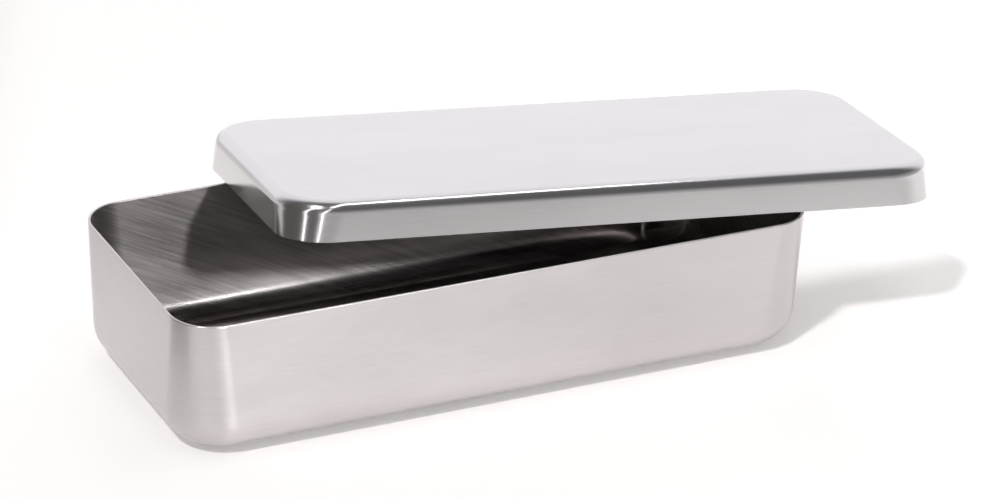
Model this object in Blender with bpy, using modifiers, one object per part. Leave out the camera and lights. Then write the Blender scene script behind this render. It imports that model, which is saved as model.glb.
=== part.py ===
"""Small stainless steel instrument tray with a loose lid lying askew across it.

Both pieces are pressed from one flat blank each: an open pan with round corners and a round
bottom edge, and a shallow lid with a skirt that drops over the tray's rim. Neither has a hem,
a handle, a hinge or a fastener, so the whole object is two solids. Units are metres, +Z is up,
and the origin is the centre of the face the tray stands on.
"""
import math

import bmesh
import bpy
from mathutils import Vector

MM = 0.001

# The sheet, and how loosely the lid fits.
SHEET = 0.7 * MM
LID_CLEARANCE = 0.8 * MM

# The tray. The corners open out a little from rim to foot, as a drawn box's corners do.
TRAY_LENGTH = 177.0 * MM
TRAY_WIDTH = 77.0 * MM
TRAY_HEIGHT = 38.0 * MM
TRAY_RIM_RADIUS = 11.5 * MM
TRAY_FOOT_RADIUS = 14.5 * MM
TRAY_BOTTOM_FILLET = 10.0 * MM
TRAY_DRAFT = math.radians(0.5)

# The lid. Its skirt goes round the tray's rim with the clearance on every side.
LID_LENGTH = TRAY_LENGTH + 2.0 * (LID_CLEARANCE + SHEET)
LID_WIDTH = TRAY_WIDTH + 2.0 * (LID_CLEARANCE + SHEET)
LID_DEPTH = 10.5 * MM
LID_SKIRT_RADIUS = TRAY_RIM_RADIUS + LID_CLEARANCE + SHEET
LID_TOP_RADIUS = 15.0 * MM
LID_TOP_FILLET = 3.2 * MM
LID_DRAFT = math.radians(1.0)

# How the lid lies: turned on the tray, dropped at its right end and at its back edge, where
# the tray's far corner stands up inside it. Its skirt bears on the rim at two places, with
# 0.3 mm left between the two pieces there.
LID_TURN = math.radians(-6.55)
LID_DROP_RIGHT = math.radians(4.25)
LID_DROP_BACK = math.radians(-7.7)
LID_PLACE = Vector((40.3, 10.5, 35.7)) * MM

# Smoothness of the round edges.
CORNER_STEPS = 9
FILLET_STEPS = 6
WALL_STEPS = 2

STEEL_COLOUR = (0.70, 0.69, 0.68, 1.0)
TRAY_ROUGHNESS = 0.35
LID_ROUGHNESS = 0.28


def clear_scene():
    for item in list(bpy.data.objects):
        bpy.data.objects.remove(item, do_unlink=True)


def steel(name, roughness):
    material = bpy.data.materials.new(name)
    material.use_nodes = True
    shader = material.node_tree.nodes["Principled BSDF"]
    shader.inputs["Base Color"].default_value = STEEL_COLOUR
    shader.inputs["Metallic"].default_value = 1.0
    shader.inputs["Roughness"].default_value = roughness
    return material


def rounded_outline(length, width, radius, height):
    """The points of a rectangle with round corners, anticlockwise, at one height."""
    centres = [(1, 1), (-1, 1), (-1, -1), (1, -1)]
    points = []
    for corner, (side_x, side_y) in enumerate(centres):
        centre_x = side_x * (length / 2 - radius)
        centre_y = side_y * (width / 2 - radius)
        for step in range(CORNER_STEPS + 1):
            angle = (corner + step / CORNER_STEPS) * math.pi / 2
            x = centre_x + radius * math.cos(angle)
            y = centre_y + radius * math.sin(angle)
            points.append(Vector((x, y, height)))
    return points


def draw_levels(depth, rim_radius, foot_radius, fillet, draft):
    """Distance from the rim, inset from the rim's outline and corner radius, rim to plate."""
    levels = []
    wall = depth - fillet
    for step in range(WALL_STEPS + 1):
        part = step / WALL_STEPS
        corner = rim_radius + (foot_radius - rim_radius) * part
        levels.append((wall * part, wall * part * math.tan(draft), corner))
    wall_inset = wall * math.tan(draft)
    for step in range(1, FILLET_STEPS + 1):
        turn = step / FILLET_STEPS * math.pi / 2
        inset = fillet * (1.0 - math.cos(turn))
        levels.append((wall + fillet * math.sin(turn), wall_inset + inset, foot_radius - inset))
    return levels


def pressed_pan(name, length, width, levels, rim_height, plate_side, collection, material):
    """An open pan of sheet metal. plate_side is -1 for a floor below the rim, 1 for a top."""
    mesh = bmesh.new()
    rings = []
    for distance, inset, corner in levels:
        height = rim_height + plate_side * distance
        outline = rounded_outline(length - 2 * inset, width - 2 * inset, corner, height)
        verts = [mesh.verts.new(point) for point in outline]
        edges = [mesh.edges.new((verts[i - 1], verts[i])) for i in range(len(verts))]
        rings.append((verts, edges))
    for (_, upper), (_, lower) in zip(rings, rings[1:]):
        bmesh.ops.bridge_loops(mesh, edges=upper + lower)
    plate = mesh.faces.new(rings[-1][0])
    bmesh.ops.recalc_face_normals(mesh, faces=mesh.faces)
    plate.normal_update()
    if plate.normal.z * plate_side < 0:
        bmesh.ops.reverse_faces(mesh, faces=mesh.faces)

    data = bpy.data.meshes.new(name)
    mesh.to_mesh(data)
    mesh.free()
    data.materials.append(material)
    data.shade_smooth()
    pan = bpy.data.objects.new(name, data)
    collection.objects.link(pan)

    wall = pan.modifiers.new("sheet", "SOLIDIFY")
    wall.thickness = SHEET
    wall.offset = -1.0
    wall.use_even_offset = True
    return pan


def make_tray(collection):
    levels = draw_levels(TRAY_HEIGHT, TRAY_RIM_RADIUS, TRAY_FOOT_RADIUS,
                         TRAY_BOTTOM_FILLET, TRAY_DRAFT)
    return pressed_pan("tray", TRAY_LENGTH, TRAY_WIDTH, levels, TRAY_HEIGHT, -1,
                       collection, steel("tray_steel", TRAY_ROUGHNESS))


def make_lid(collection):
    """The lid, with its origin at the middle of the skirt's edge, which the lift axis meets."""
    levels = draw_levels(LID_DEPTH, LID_SKIRT_RADIUS, LID_TOP_RADIUS,
                         LID_TOP_FILLET, LID_DRAFT)
    lid = pressed_pan("lid", LID_LENGTH, LID_WIDTH, levels, 0.0, 1,
                      collection, steel("lid_steel", LID_ROUGHNESS))
    lid.rotation_mode = "ZXY"
    lid.rotation_euler = (LID_DROP_BACK, LID_DROP_RIGHT, LID_TURN)
    lid.location = LID_PLACE
    return lid


clear_scene()
instrument_tray = bpy.data.collections.new("instrument_tray")
bpy.context.scene.collection.children.link(instrument_tray)
make_tray(instrument_tray)
make_lid(instrument_tray)
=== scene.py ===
import math

import bmesh
import bpy
from mathutils import Euler, Matrix, Vector


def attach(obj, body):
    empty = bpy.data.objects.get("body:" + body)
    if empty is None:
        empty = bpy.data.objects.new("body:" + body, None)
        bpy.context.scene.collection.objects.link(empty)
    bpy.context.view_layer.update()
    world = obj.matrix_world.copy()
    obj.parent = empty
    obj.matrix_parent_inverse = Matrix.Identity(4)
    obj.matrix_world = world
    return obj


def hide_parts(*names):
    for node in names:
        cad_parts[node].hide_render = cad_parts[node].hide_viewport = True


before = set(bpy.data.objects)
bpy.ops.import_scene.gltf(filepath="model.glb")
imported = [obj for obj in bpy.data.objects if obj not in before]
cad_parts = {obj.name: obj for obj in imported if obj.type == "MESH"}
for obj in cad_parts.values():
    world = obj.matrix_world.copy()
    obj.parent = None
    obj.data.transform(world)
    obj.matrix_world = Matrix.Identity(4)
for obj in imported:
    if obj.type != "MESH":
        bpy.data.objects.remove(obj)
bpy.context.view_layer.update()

MM = 0.001

# ---------------------------------------------------------------------------------------------
# The tray. One blank of stainless sheet, deep drawn into an open pan: round corners that open
# out a little towards the foot, a wide round bottom edge, and a rim trimmed plain and deburred,
# with no hem or bead. Nothing is fixed to it.
# ---------------------------------------------------------------------------------------------
SHEET = 0.7 * MM
TRAY_LENGTH = 177.0 * MM
TRAY_WIDTH = 77.0 * MM
TRAY_HEIGHT = 38.0 * MM
TRAY_RIM_RADIUS = 11.5 * MM
TRAY_FOOT_RADIUS = 14.5 * MM
TRAY_BOTTOM_FILLET = 10.0 * MM
TRAY_DRAFT = math.radians(0.5)

CORNER_STEPS = 32
WALL_RINGS = 8
FILLET_RINGS = 20
DEBURR = 0.26 * MM
DEBURR_STEPS = 4
SHARP_EDGE = math.radians(50)


def linear(colour):
    """An sRGB hex colour as linear RGBA."""
    channels = [int(colour[i:i + 2], 16) / 255 for i in (1, 3, 5)]
    return [c / 12.92 if c <= 0.04045 else ((c + 0.055) / 1.055) ** 2.4 for c in channels] + [1.0]


def pan_profile(depth, rim_radius, foot_radius, fillet, draft):
    """Rings from the cut edge to the flat: (way down, inset, corner radius, length of sheet so far)."""
    wall = depth - fillet
    rings = []
    for i in range(WALL_RINGS + 1):
        down = wall * i / WALL_RINGS
        corner = rim_radius + (foot_radius - rim_radius) * i / WALL_RINGS
        rings.append((down, down * math.tan(draft), corner, down))
    wall_inset = wall * math.tan(draft)
    for i in range(1, FILLET_RINGS + 1):
        turn = math.pi / 2 * i / FILLET_RINGS
        inset = fillet * (1 - math.cos(turn))
        rings.append((wall + fillet * math.sin(turn), wall_inset + inset, foot_radius - inset,
                      wall + fillet * turn))
    return rings


def round_outline(pan, length, width, radius, height, others):
    """A rectangle with round corners, as one face: a quad with its four corners bevelled."""
    quad = bmesh.ops.create_grid(pan, x_segments=1, y_segments=1, size=0.5)["verts"]
    bmesh.ops.scale(pan, vec=(length, width, 1), verts=quad)
    bmesh.ops.translate(pan, vec=(0, 0, height), verts=quad)
    bmesh.ops.bevel(pan, geom=quad, offset=radius, segments=CORNER_STEPS, profile=0.5,
                    affect="VERTICES", material=-1)
    return next(face for face in pan.faces if face not in others)


def draw_pan(name, length, width, profile, edge_height, flat_side, place, outside, inside):
    """Draws a pan from its profile. Its map "grain" lies along the brushing, in metres: round the
    walls and the bottom edge, and straight along the flat."""
    pan = bmesh.new()
    grain = pan.loops.layers.uv.new("grain")
    sheet_length = profile[-1][3]
    drawn_at = {}
    rings = []
    others = set()
    for down, inset, radius, drawn in profile:
        ring = round_outline(pan, length - 2 * inset, width - 2 * inset, radius,
                             edge_height + flat_side * down, others)
        drawn_at.update((vert, (drawn, inset + radius)) for vert in ring.verts)
        others.add(ring)
        rings.append(ring)
    loops = [list(ring.edges) for ring in rings]
    flat = rings[-1]
    bmesh.ops.delete(pan, geom=rings[:-1], context="FACES_ONLY")
    for upper, lower in zip(loops, loops[1:]):
        bmesh.ops.bridge_loops(pan, edges=upper + lower)
    bmesh.ops.recalc_face_normals(pan, faces=pan.faces)
    if flat.normal.z * flat_side < 0:
        bmesh.ops.reverse_faces(pan, faces=pan.faces)
    rim_radius = profile[0][2]
    corner_run = rim_radius * math.pi / 2
    side_runs = [length - 2 * rim_radius, width - 2 * rim_radius]
    round_trip = 2 * sum(side_runs) + 4 * corner_run
    starts = {(1, 1): 0.0, (-1, 1): corner_run + side_runs[0],
              (-1, -1): 2 * corner_run + sum(side_runs),
              (1, -1): 3 * corner_run + sum(side_runs) + side_runs[0]}
    first_angle = {(1, 1): 0.0, (-1, 1): 0.5, (-1, -1): 1.0, (1, -1): 1.5}

    # How far round the rim a point lies, counterclockwise from where the right side meets the back
    # right corner.
    def way_round(vert):
        corner = (1 if vert.co.x > 0 else -1, 1 if vert.co.y > 0 else -1)
        centre_inset = drawn_at[vert][1]
        from_centre = Vector((vert.co.x - corner[0] * (length / 2 - centre_inset),
                              vert.co.y - corner[1] * (width / 2 - centre_inset)))
        angle = math.atan2(from_centre.y, from_centre.x) - first_angle[corner] * math.pi
        angle = (angle + math.pi) % (2 * math.pi) - math.pi
        return starts[corner] + rim_radius * angle

    for face in pan.faces:
        face.smooth = True
        if face == flat:
            for loop in face.loops:
                loop[grain].uv = loop.vert.co.xy
            continue
        runs = [way_round(loop.vert) for loop in face.loops]
        for loop, run in zip(face.loops, runs):
            if max(runs) - run > round_trip / 2:
                run += round_trip
            loop[grain].uv = (run, sheet_length - drawn_at[loop.vert][0])
    bmesh.ops.transform(pan, matrix=place, verts=pan.verts)

    mesh = bpy.data.meshes.new(name)
    pan.to_mesh(mesh)
    pan.free()
    mesh.materials.append(outside)
    mesh.materials.append(inside)
    piece = bpy.data.objects.new(name, mesh)
    bpy.context.scene.collection.objects.link(piece)
    wall = piece.modifiers.new("sheet", "SOLIDIFY")
    wall.thickness = SHEET
    wall.offset = -1
    wall.use_even_offset = True
    wall.material_offset = 1
    deburr = piece.modifiers.new("deburred_edge", "BEVEL")
    deburr.width = DEBURR
    deburr.segments = DEBURR_STEPS
    deburr.limit_method = "ANGLE"
    deburr.angle_limit = SHARP_EDGE
    deburr.harden_normals = True
    return piece


def add(tree, kind, links=None, **settings):
    """Adds a node. Settings name its properties or its sockets; links feed its inputs."""
    node = tree.nodes.new(kind)
    for key, value in settings.items():
        if hasattr(node, key):
            setattr(node, key, value)
        else:
            node.inputs[key.replace("_", " ")].default_value = value
    for key, source in (links or {}).items():
        tree.links.new(source, node.inputs[key])
    return node


ACROSS_THE_GRAIN = 0.25
BURNISH_FADES_FROM = 0.55


def stainless(name, light, dark, smooth, rough, stroke, relief_depth, anisotropy, slant, burnish, edge_run):
    """Brushed stainless sheet: nearly white, with highlights drawn out across the grain. The brush
    strokes, each stroke metres wide, run along the map or at a slant to it, in degrees. The round
    edge, edge_run metres of sheet, is burnished by the die: its roughness is burnish times the wall's."""
    material = bpy.data.materials.new(name)
    material.use_nodes = True
    tree = material.node_tree
    steel = tree.nodes["Principled BSDF"]
    steel.inputs["Metallic"].default_value = 1.0
    steel.inputs["Anisotropic"].default_value = anisotropy
    steel.inputs["Anisotropic Rotation"].default_value = ACROSS_THE_GRAIN

    sheet = add(tree, "ShaderNodeUVMap", uv_map="grain").outputs["UV"]
    strokes = add(tree, "ShaderNodeMapping", {"Vector": sheet},
                  Rotation=(0, 0, math.radians(-slant))).outputs[0]
    # Brush strokes are about 0.05 mm wide on the real sheet; drawn several times wider so that they show.
    lines_at = add(tree, "ShaderNodeMapping", {"Vector": strokes}, Scale=(1 / (30 * stroke), 1 / stroke, 1))
    lines = add(tree, "ShaderNodeTexNoise", {"Vector": lines_at.outputs[0]}, Scale=1.0, Detail=4.0,
                Roughness=0.6)
    # Patches 20 to 50 mm long where the belt bit harder and the sheet was handled.
    patches_at = add(tree, "ShaderNodeMapping", {"Vector": strokes}, Scale=(1 / (50 * MM), 1 / (20 * MM), 1))
    patches = add(tree, "ShaderNodeTexNoise", {"Vector": patches_at.outputs[0]}, Scale=1.0, Detail=3.0)

    worn = add(tree, "ShaderNodeMix", {"A": lines.outputs[0], "B": patches.outputs[0]}, data_type="FLOAT")
    tone = add(tree, "ShaderNodeMapRange", {"Value": worn.outputs["Result"]}, From_Min=0.35, From_Max=0.65)
    colour = add(tree, "ShaderNodeMix", {"Factor": tone.outputs["Result"]}, data_type="RGBA")
    colour.inputs["A"].default_value = linear(dark)
    colour.inputs["B"].default_value = linear(light)
    tree.links.new(colour.outputs["Result"], steel.inputs["Base Color"])
    gloss = add(tree, "ShaderNodeMapRange", {"Value": worn.outputs["Result"]}, From_Min=0.3, From_Max=0.7,
                To_Min=smooth, To_Max=rough)
    across = add(tree, "ShaderNodeSeparateXYZ", {"Vector": sheet}).outputs["Y"]
    ease = add(tree, "ShaderNodeMapRange", {"Value": across}, interpolation_type="SMOOTHSTEP",
               From_Min=edge_run * BURNISH_FADES_FROM, From_Max=edge_run, To_Min=burnish, To_Max=1.0)
    finish = add(tree, "ShaderNodeMath", {0: gloss.outputs["Result"], 1: ease.outputs["Result"]},
                 operation="MULTIPLY")
    tree.links.new(finish.outputs["Value"], steel.inputs["Roughness"])
    relief = add(tree, "ShaderNodeBump", {"Height": lines.outputs[0]}, Strength=1.0, Distance=relief_depth)
    tree.links.new(relief.outputs["Normal"], steel.inputs["Normal"])
    tangent = add(tree, "ShaderNodeTangent", direction_type="UV_MAP", uv_map="grain")
    tree.links.new(tangent.outputs["Tangent"], steel.inputs["Tangent"])
    return material


tray_profile = pan_profile(TRAY_HEIGHT, TRAY_RIM_RADIUS, TRAY_FOOT_RADIUS, TRAY_BOTTOM_FILLET, TRAY_DRAFT)
TRAY_EDGE_RUN = TRAY_BOTTOM_FILLET * math.pi / 2
# Belt brushed outside, round the walls: satin, with soft bands of light standing up the corners.
# Inside it is brushed by hand at a slant: rougher, and bright along the burnished bottom edge. Its darker
# grey is partly the duller hand brushing and partly painted shade for the inside under the lid.
tray_outside = stainless("satin_brushed_stainless", "#d1cdcd", "#c6c2c2", 0.28, 0.38, 0.35 * MM, 0.0012 * MM,
                         0.80, 0, 1.0, TRAY_EDGE_RUN)
tray_inside = stainless("hand_brushed_stainless_painted_shade", "#b6b1b0", "#8a8584", 0.36, 0.50, 0.8 * MM, 0.012 * MM,
                        0.6, 28, 0.30, TRAY_EDGE_RUN)
tray = draw_pan("tray_pan", TRAY_LENGTH, TRAY_WIDTH, tray_profile, TRAY_HEIGHT, -1, Matrix.Identity(4),
                tray_outside, tray_inside)
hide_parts("tray")
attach(tray, "tray")

# ---------------------------------------------------------------------------------------------
# The lid. The same sheet, pressed into a shallow cap with a plain skirt that drops over the
# tray's rim. It is loose, and lies askew: turned a little, low at its right end and back edge.
# ---------------------------------------------------------------------------------------------
PLAY = 0.8 * MM
LID_LENGTH = TRAY_LENGTH + 2 * (PLAY + SHEET)
LID_WIDTH = TRAY_WIDTH + 2 * (PLAY + SHEET)
LID_DEPTH = 10.5 * MM
LID_SKIRT_RADIUS = TRAY_RIM_RADIUS + PLAY + SHEET
LID_TOP_RADIUS = 15.0 * MM
LID_SHOULDER = 3.2 * MM
LID_DRAFT = math.radians(1.0)
LID_LIES = Euler([math.radians(angle) for angle in (-7.7, 4.25, -6.55)], "ZXY")
LID_SPOT = Vector((40.3, 10.5, 35.7)) * MM

lid_profile = pan_profile(LID_DEPTH, LID_SKIRT_RADIUS, LID_TOP_RADIUS, LID_SHOULDER, LID_DRAFT)
LID_EDGE_RUN = LID_SHOULDER * math.pi / 2
# The lid is brushed finer and nearly mirrors the room; its underside is left rougher, and its darker grey
# is painted shade under the lid.
lid_outside = stainless("fine_satin_stainless", "#d5d3d4", "#cecccd", 0.14, 0.21, 0.35 * MM, 0.0005 * MM,
                        0.3, 0, 1.0, LID_EDGE_RUN)
lid_inside = stainless("satin_stainless_underside", "#c2bebd", "#aeaaa9", 0.30, 0.42, 0.8 * MM, 0.004 * MM,
                       0.3, 28, 0.7, LID_EDGE_RUN)
lid = draw_pan("lid_cap", LID_LENGTH, LID_WIDTH, lid_profile, 0.0, 1,
               Matrix.LocRotScale(LID_SPOT, LID_LIES, None), lid_outside, lid_inside)
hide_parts("lid")
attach(lid, "lid")

# ---------------------------------------------------------------------------------------------
# The studio: a backlit white floor, whose glow past the tray's right end is painted light over the
# lid's shadow, a lit white wall behind and a dark room in front. A long strip light hangs overhead and
# two stand at the left, where grey flags close the set. A key lamp throws the shadow to the right, and
# two lamps in front show up the tray's inside.
# ---------------------------------------------------------------------------------------------
bpy.context.scene.view_settings.view_transform = "Standard"

HALF_FLOOR = 6.0
GLOW = 0.29
# Painted light over the lid's shadow past the tray's right end: a little in front, more further back.
PAINTED_LIGHT_RIGHT = 0.11
PAINTED_LIGHT_BACK_RIGHT = 0.45
FRONT_SHADE = 0.50
LEFT_SHADE = 0.78
TO_THE_RIGHT = (0.907, -0.421, 0)
plate = bmesh.new()
bmesh.ops.create_grid(plate, x_segments=1, y_segments=1, size=HALF_FLOOR)
floor_mesh = bpy.data.meshes.new("floor")
plate.to_mesh(floor_mesh)
plate.free()
floor = bpy.data.objects.new("floor", floor_mesh)
bpy.context.scene.collection.objects.link(floor)
acrylic = bpy.data.materials.new("matt_white_acrylic")
acrylic.use_nodes = True
tree = acrylic.node_tree
top = tree.nodes["Principled BSDF"]
top.inputs["Roughness"].default_value = 0.8
top.inputs["Specular IOR Level"].default_value = 0.1
on_floor = add(tree, "ShaderNodeTexCoord").outputs["Object"]
place = add(tree, "ShaderNodeSeparateXYZ", {"Vector": on_floor})
# Matt acrylic lit from below: even and white, with no sheen. Past the tray's right end it glows more:
# painted light that lightens the lid's shadow there and fades it out to white towards the back. It is
# greyer out of the light, in front and past the left side.
front = add(tree, "ShaderNodeMapRange", {"Value": place.outputs["Y"]}, interpolation_type="SMOOTHSTEP",
            From_Min=-0.42, From_Max=-0.14, To_Min=FRONT_SHADE, To_Max=1.0)
back = add(tree, "ShaderNodeMapRange", {"Value": place.outputs["Y"]}, interpolation_type="SMOOTHSTEP",
           From_Min=-0.010, From_Max=0.005, To_Min=PAINTED_LIGHT_RIGHT, To_Max=PAINTED_LIGHT_BACK_RIGHT)
right_end = add(tree, "ShaderNodeMapRange", {"Value": place.outputs["X"]}, interpolation_type="SMOOTHSTEP",
                From_Min=0.07, From_Max=0.11, To_Min=0.0, To_Max=1.0)
painted_light = add(tree, "ShaderNodeMath", {0: back.outputs["Result"], 1: right_end.outputs["Result"]},
           operation="MULTIPLY")
rightward = add(tree, "ShaderNodeVectorMath", {0: on_floor}, operation="DOT_PRODUCT")
rightward.inputs[1].default_value = TO_THE_RIGHT
left = add(tree, "ShaderNodeMapRange", {"Value": rightward.outputs["Value"]}, interpolation_type="SMOOTHSTEP",
           From_Min=-0.165, From_Max=-0.115, To_Min=LEFT_SHADE, To_Max=1.0)
shade = add(tree, "ShaderNodeMath", {0: front.outputs["Result"], 1: left.outputs["Result"]},
            operation="MULTIPLY")
base_glow = add(tree, "ShaderNodeMath", {0: shade.outputs["Value"]}, operation="MULTIPLY")
base_glow.inputs[1].default_value = GLOW
glow = add(tree, "ShaderNodeMath", {0: painted_light.outputs["Value"], 1: base_glow.outputs["Value"]}, operation="ADD")
white = add(tree, "ShaderNodeMix", {"Factor": shade.outputs["Value"]}, data_type="RGBA")
white.inputs["A"].default_value = (0, 0, 0, 1)
white.inputs["B"].default_value = linear("#dddad8")
tree.links.new(white.outputs["Result"], top.inputs["Base Color"])
top.inputs["Emission Color"].default_value = linear("#fffefe")
tree.links.new(glow.outputs["Value"], top.inputs["Emission Strength"])
floor.data.materials.append(acrylic)

WALL_GLOW = 1.15
ROOM_GLOW = 0.14
HORIZON_GLOW = 0.55
MIDDLE_OF_WALL = (0.42, 0.90, 0.09)
world = bpy.data.worlds.new("studio")
bpy.context.scene.world = world
world.use_nodes = True
sky = world.node_tree
way = add(sky, "ShaderNodeTexCoord").outputs["Generated"]
behind = add(sky, "ShaderNodeVectorMath", {0: way}, operation="DOT_PRODUCT")
behind.inputs[1].default_value = MIDDLE_OF_WALL
lit = add(sky, "ShaderNodeMapRange", {"Value": behind.outputs["Value"]}, interpolation_type="SMOOTHSTEP",
          From_Min=0.12, From_Max=0.75, To_Min=ROOM_GLOW, To_Max=WALL_GLOW)
# Light from the floor's far edge comes back off the room's walls, low down.
height = add(sky, "ShaderNodeSeparateXYZ", {"Vector": way}).outputs["Z"]
low = add(sky, "ShaderNodeMapRange", {"Value": height}, interpolation_type="SMOOTHSTEP",
          From_Min=-0.05, From_Max=0.55, To_Min=HORIZON_GLOW, To_Max=ROOM_GLOW)
room = add(sky, "ShaderNodeMath", {0: lit.outputs["Result"], 1: low.outputs["Result"]},
           operation="MAXIMUM")
sky.links.new(room.outputs["Value"], sky.nodes["Background"].inputs["Strength"])
sky.nodes["Background"].inputs["Color"].default_value = linear("#fdfcff")


def softbox(name, centre, aim, long_way, length, width, glow):
    """A rectangular light: its long side lies along long_way, and glow is its radiance."""
    light = bpy.data.lights.new(name, "AREA")
    light.shape = "RECTANGLE"
    light.size = length
    light.size_y = width
    light.energy = glow * math.pi * length * width
    lamp = bpy.data.objects.new(name, light)
    along = Vector(long_way).normalized()
    away = Vector(centre) - Vector(aim)
    away = (away - along * away.dot(along)).normalized()
    turn = Matrix((along, away.cross(along), away)).transposed()
    lamp.matrix_world = Matrix.Translation(centre) @ turn.to_4x4()
    lamp.visible_camera = False
    bpy.context.scene.collection.objects.link(lamp)
    return lamp


LID_CORNER = (-0.045, -0.017, 0.048)
LID_MIDDLE = (0, 0, 0.05)
INSIDE_BOTTOM_EDGE = (-0.05, 0.036, 0.006)
softbox("overhead_strip", (0.11, -0.147, 0.67), LID_MIDDLE, (0.66, 0.75, 0), 0.70, 0.040, 7.0)
# The two standing strips are flagged off everything but the lid.
front_strip = softbox("front_strip", (-0.17, -0.277, 0.17), LID_CORNER, (0.11, -0.03, 0.36), 0.40,
                      0.009, 6.0)
left_strip = softbox("left_strip", (-0.236, -0.125, 0.2), LID_CORNER, (0.03, -0.06, 0.40), 0.40,
                     0.008, 6.0)
only_the_lid = bpy.data.collections.new("only_the_lid")
only_the_lid.objects.link(lid)
front_strip.light_linking.receiver_collection = only_the_lid
left_strip.light_linking.receiver_collection = only_the_lid


def lamp(name, to_light, strength, spread):
    """A small bright lamp far away: strength in W/m2, spread in degrees."""
    light = bpy.data.lights.new(name, "SUN")
    light.energy = strength
    light.angle = math.radians(spread)
    holder = bpy.data.objects.new(name, light)
    holder.rotation_euler = Vector(to_light).to_track_quat("Z", "Y").to_euler()
    bpy.context.scene.collection.objects.link(holder)
    return holder


lamp("key", (-0.50, -0.335, 0.87), 1.95, 5)
# Two lamps in front are flagged off everything but the tray. One shows up its inside past the lid's
# end, and the other, lower, shines in under the lid's front edge onto the bottom of the back wall.
only_the_tray = bpy.data.collections.new("only_the_tray")
only_the_tray.objects.link(tray)
inside_lamp = lamp("inside_lamp", (0.13, -0.85, 0.51), 2.8, 3)
inside_lamp.light_linking.receiver_collection = only_the_tray
gap_lamp = softbox("gap_lamp", (0.11, -0.34, 0.19), INSIDE_BOTTOM_EDGE, (1, 0, 0), 0.02, 0.02, 40.0)
gap_lamp.light_linking.receiver_collection = only_the_tray

# Grey flags stand at the left of the set. Only the steel's reflections show them: matt felt, which
# gives the corners their dark bands.
FLAG_HEIGHT = 0.16
FLAG_LINES = [[(-0.29, 0.13), (-0.30, 0.0), (-0.265, -0.28)], [(-0.145, 0.03), (-0.155, -0.05)]]
board = bmesh.new()
for line in FLAG_LINES:
    corners = [bmesh.ops.create_vert(board, co=(*spot, 0))["vert"][0] for spot in line]
    foot = [board.edges.new(pair) for pair in zip(corners, corners[1:])]
    raised = bmesh.ops.extrude_edge_only(board, edges=foot)["geom"]
    bmesh.ops.translate(board, vec=(0, 0, FLAG_HEIGHT),
                        verts=[part for part in raised if isinstance(part, bmesh.types.BMVert)])
flag_mesh = bpy.data.meshes.new("flags")
board.to_mesh(flag_mesh)
board.free()
felt = bpy.data.materials.new("grey_felt")
felt.use_nodes = True
felt.node_tree.nodes["Principled BSDF"].inputs["Base Color"].default_value = linear("#6e6b69")
felt.node_tree.nodes["Principled BSDF"].inputs["Roughness"].default_value = 0.9
flag_mesh.materials.append(felt)
flags = bpy.data.objects.new("flags", flag_mesh)
flags.visible_camera = False
flags.visible_diffuse = False
flags.visible_shadow = False
bpy.context.scene.collection.objects.link(flags)

# The camera: a long lens, above and to the left of the front, with the horizon a shade tilted.
AZIMUTH = math.radians(-25.635)
ELEVATION = math.radians(26.157)
ROLL = math.radians(1.698)
DISTANCE = 1.34955
SHIFT_RIGHT = 0.013625
SHIFT_UP = 0.025084
away = Vector((math.sin(AZIMUTH) * math.cos(ELEVATION), -math.cos(AZIMUTH) * math.cos(ELEVATION),
               math.sin(ELEVATION)))
right = Vector((math.cos(AZIMUTH), math.sin(AZIMUTH), 0))
up = away.cross(right)
lens = bpy.data.cameras.new("camera")
lens.sensor_width = 36
lens.lens = 185.3
camera = bpy.data.objects.new("camera", lens)
spot = right * SHIFT_RIGHT + up * SHIFT_UP + away * DISTANCE
tilted_right = right * math.cos(ROLL) + up * math.sin(ROLL)
tilted_up = up * math.cos(ROLL) - right * math.sin(ROLL)
turn = Matrix((tilted_right, tilted_up, away)).transposed()
camera.matrix_world = Matrix.Translation(spot) @ turn.to_4x4()
bpy.context.scene.collection.objects.link(camera)
bpy.context.scene.camera = camera
